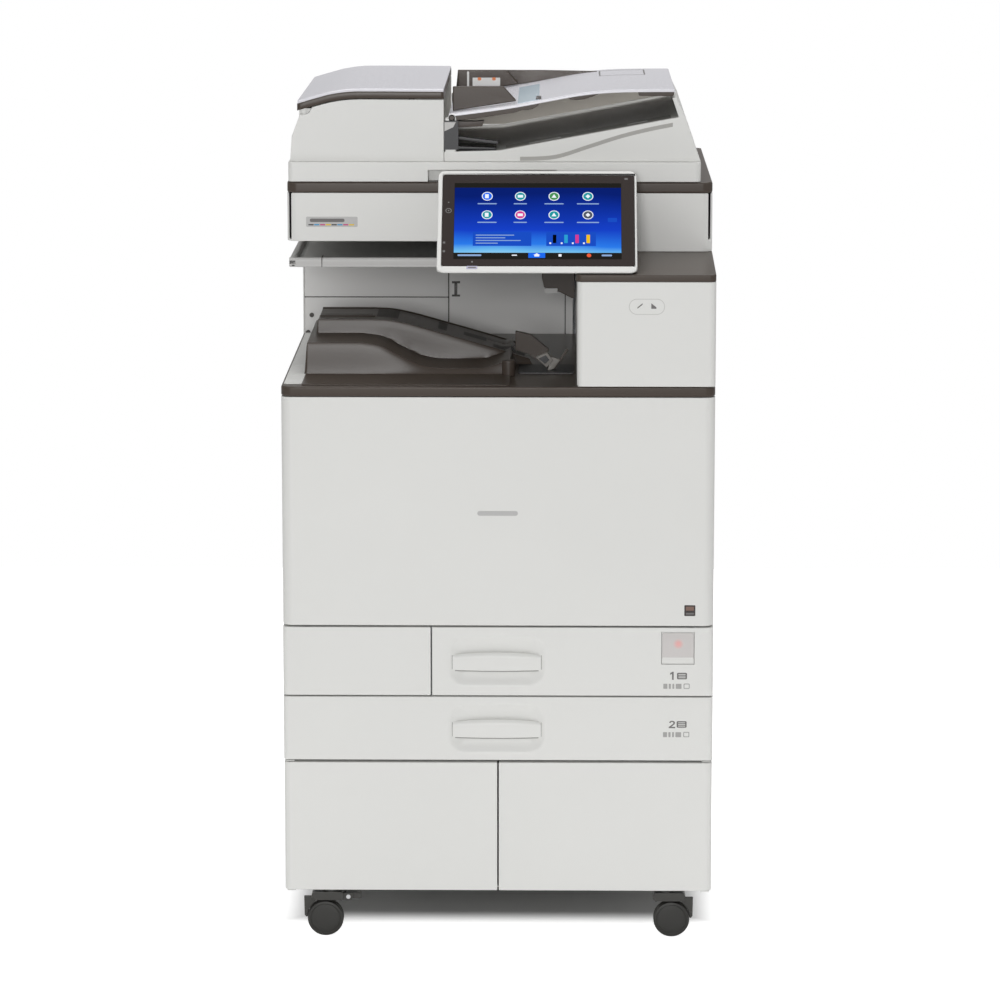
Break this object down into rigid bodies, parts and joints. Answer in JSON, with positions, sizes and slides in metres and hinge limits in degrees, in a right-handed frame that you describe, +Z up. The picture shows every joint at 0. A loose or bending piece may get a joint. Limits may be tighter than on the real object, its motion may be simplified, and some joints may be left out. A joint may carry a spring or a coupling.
{
  "type": "photocopier",
  "caption": "Floor-standing colour copier with document feeder, tilting touch panel, paper bay, drawers, cabinet and casters.",
  "frame": {"origin": "on the floor under the middle of the machine's outline", "axes": "+Z up, front of the machine towards -Y, +X to the right seen from the front"},
  "size_m": [0.587, 0.685, 1.165],
  "materials": {
    "white_panel": "fine-textured moulded plastic",
    "white_steel": "powder coated sheet",
    "brown_trim": "satin moulded plastic",
    "grey_inner": "matt moulded plastic",
    "lid_white": "smooth moulded plastic",
    "dark_plastic": "matt black plastic",
    "frame_steel": "zinc plated sheet",
    "chrome_pin": "polished",
    "caster_black": "matt nylon",
    "wheel_rubber": "matt",
    "roller_rubber": "matt",
    "glass": "clear float glass",
    "screen": "gloss black touch glass",
    "sponge": "white foam sheet",
    "switch_lens": "translucent",
    "toner_yellow": "moulded",
    "toner_magenta": "moulded",
    "toner_cyan": "moulded",
    "toner_black": "moulded",
    "engine_black": "matt moulded"
  },
  "bodies": {
    "chassis": {"caster_plates": "chrome_pin", "cabinet_shell": "white_steel", "main_frame": "frame_steel", "left_cover": "white_panel", "right_cover": "white_panel", "rear_cover": "white_panel", "power_inlet": "dark_plastic", "left_front_panel": "white_panel", "output_deck": "brown_trim", "bay_back_wall": "grey_inner", "inner_tray": "grey_inner", "column_cover": "white_panel", "column_cap": "brown_trim", "scanner_base": "white_panel", "scanner_top_frame": "brown_trim", "platen_glass": "glass", "feeder_hinges": "frame_steel", "panel_arm": "dark_plastic", "inner_cover": "grey_inner", "print_engine": "engine_black", "switch_housing": "white_panel", "toner_bottle_yellow": "toner_yellow", "toner_bottle_magenta": "toner_magenta", "toner_bottle_cyan": "toner_cyan", "toner_bottle_black": "toner_black"},
    "lamp": {"lamp_carriage": "engine_black"},
    "mirror": {"mirror_carriage": "engine_black"},
    "feeder": {"feeder_base": "white_panel", "platen_pad": "sponge", "feed_housing": "white_panel", "exit_tray": "white_panel"},
    "feeder_lid": {"feeder_lid": "lid_white"},
    "feed_roller": {"feed_roller": "roller_rubber"},
    "document_tray": {"document_tray": "lid_white"},
    "front_fence": {"front_fence": "brown_trim"},
    "rear_fence": {"rear_fence": "brown_trim"},
    "panel": {"panel_housing": "white_panel", "panel_display": "screen"},
    "front_cover": {"front_cover": "white_panel"},
    "tray1": {"tray1_front": "white_panel", "tray1_bin": "grey_inner", "tray1_grip": "white_panel"},
    "tray2": {"tray2_front": "white_panel", "tray2_bin": "grey_inner", "tray2_grip": "white_panel"},
    "switch_flap": {"switch_flap": "switch_lens"},
    "power_button": {"power_button": "dark_plastic"},
    "side_door": {"side_door": "white_panel"},
    "bypass_tray": {"bypass_tray": "white_panel"},
    "door_left": {"cabinet_door_left": "white_panel"},
    "door_right": {"cabinet_door_right": "white_panel"},
    "brake_lever": {"brake_lever_front_left": "caster_black"},
    "fork_front_left": {"caster_fork_front_left": "caster_black"},
    "wheel_front_left": {"caster_wheel_front_left": "wheel_rubber"},
    "fork_front_right": {"caster_fork_front_right": "caster_black"},
    "wheel_front_right": {"caster_wheel_front_right": "wheel_rubber"},
    "fork_rear_left": {"caster_fork_rear_left": "caster_black"},
    "wheel_rear_left": {"caster_wheel_rear_left": "wheel_rubber"},
    "fork_rear_right": {"caster_fork_rear_right": "caster_black"},
    "wheel_rear_right": {"caster_wheel_rear_right": "wheel_rubber"}
  },
  "joints": [
    {"name": "swivel_front_left", "type": "hinge", "parent": "chassis", "child": "fork_front_left", "pos_m": [-0.232, -0.292, 0.06], "axis": [0, 0, 1], "continuous": true},
    {"name": "roll_front_left", "type": "hinge", "parent": "fork_front_left", "child": "wheel_front_left", "pos_m": [-0.24, -0.292, 0.025], "axis": [0, 1, 0], "continuous": true},
    {"name": "swivel_front_right", "type": "hinge", "parent": "chassis", "child": "fork_front_right", "pos_m": [0.232, -0.292, 0.06], "axis": [0, 0, 1], "continuous": true},
    {"name": "roll_front_right", "type": "hinge", "parent": "fork_front_right", "child": "wheel_front_right", "pos_m": [0.24, -0.292, 0.025], "axis": [0, 1, 0], "continuous": true},
    {"name": "swivel_rear_left", "type": "hinge", "parent": "chassis", "child": "fork_rear_left", "pos_m": [-0.232, 0.292, 0.06], "axis": [0, 0, 1], "continuous": true},
    {"name": "roll_rear_left", "type": "hinge", "parent": "fork_rear_left", "child": "wheel_rear_left", "pos_m": [-0.24, 0.292, 0.025], "axis": [0, 1, 0], "continuous": true},
    {"name": "swivel_rear_right", "type": "hinge", "parent": "chassis", "child": "fork_rear_right", "pos_m": [0.232, 0.292, 0.06], "axis": [0, 0, 1], "continuous": true},
    {"name": "roll_rear_right", "type": "hinge", "parent": "fork_rear_right", "child": "wheel_rear_right", "pos_m": [0.24, 0.292, 0.025], "axis": [0, 1, 0], "continuous": true},
    {"name": "brake_press", "type": "hinge", "parent": "fork_front_left", "child": "brake_lever", "pos_m": [-0.208, -0.292, 0.057], "axis": [0, 1, 0], "range_deg": [0, 12]},
    {"name": "door_left_swing", "type": "hinge", "parent": "chassis", "child": "door_left", "pos_m": [-0.2845, -0.3335, 0.165], "axis": [0, 0, -1], "range_deg": [0, 100]},
    {"name": "door_right_swing", "type": "hinge", "parent": "chassis", "child": "door_right", "pos_m": [0.2845, -0.3335, 0.165], "axis": [0, 0, 1], "range_deg": [0, 100]},
    {"name": "tray1_slide", "type": "slide", "parent": "chassis", "child": "tray1", "axis": [0, -1, 0], "range_m": [0, 0.45]},
    {"name": "tray2_slide", "type": "slide", "parent": "chassis", "child": "tray2", "axis": [0, -1, 0], "range_m": [0, 0.45]},
    {"name": "front_cover_drop", "type": "hinge", "parent": "chassis", "child": "front_cover", "pos_m": [0, -0.336, 0.455], "axis": [1, 0, 0], "range_deg": [0, 90]},
    {"name": "switch_flap_open", "type": "hinge", "parent": "chassis", "child": "switch_flap", "pos_m": [0.2452, -0.3395, 0.406], "axis": [1, 0, 0], "range_deg": [0, 80]},
    {"name": "power_press", "type": "slide", "parent": "chassis", "child": "power_button", "axis": [0, 1, 0], "range_m": [0, 0.003], "stiffness_N_per_m": 500, "springref_m": -0.002},
    {"name": "side_door_drop", "type": "hinge", "parent": "chassis", "child": "side_door", "pos_m": [0.283, -0.032, 0.462], "axis": [0, 1, 0], "range_deg": [0, 40]},
    {"name": "bypass_drop", "type": "hinge", "parent": "side_door", "child": "bypass_tray", "pos_m": [0.288, 0, 0.527], "axis": [0, 1, 0], "range_deg": [0, 70]},
    {"name": "panel_tilt", "type": "hinge", "parent": "chassis", "child": "panel", "pos_m": [0.0523, -0.248, 0.975], "axis": [-1, 0, 0], "range_deg": [0, 25]},
    {"name": "lamp_travel", "type": "slide", "parent": "chassis", "child": "lamp", "axis": [1, 0, 0], "range_m": [0, 0.43]},
    {"name": "mirror_travel", "type": "slide", "parent": "chassis", "child": "mirror", "axis": [1, 0, 0], "range_m": [0, 0.215]},
    {"name": "feeder_lift", "type": "hinge", "parent": "chassis", "child": "feeder", "pos_m": [0, 0.322, 1.051], "axis": [-1, 0, 0], "range_deg": [0, 65]},
    {"name": "feeder_lid_lift", "type": "hinge", "parent": "feeder", "child": "feeder_lid", "pos_m": [-0.2705, 0.05, 1.1395], "axis": [0, -1, 0], "range_deg": [0, 60]},
    {"name": "feed_roller_turn", "type": "hinge", "parent": "feeder", "child": "feed_roller", "pos_m": [-0.135, 0.05, 1.116], "axis": [0, 1, 0], "continuous": true},
    {"name": "document_tray_lift", "type": "hinge", "parent": "feeder", "child": "document_tray", "pos_m": [-0.066, 0.027, 1.125], "axis": [0, -1, 0], "range_deg": [0, 16]},
    {"name": "front_fence_slide", "type": "slide", "parent": "document_tray", "child": "front_fence", "axis": [0, 1, 0], "range_m": [0, 0.085]},
    {"name": "rear_fence_slide", "type": "slide", "parent": "document_tray", "child": "rear_fence", "axis": [0, 1, 0], "range_m": [-0.085, 0]}
  ],
  "couplings": [
    {"joint": "mirror_travel", "follows": "lamp_travel", "ratio": 0.5},
    {"joint": "rear_fence_slide", "follows": "front_fence_slide", "ratio": -1}
  ]
}
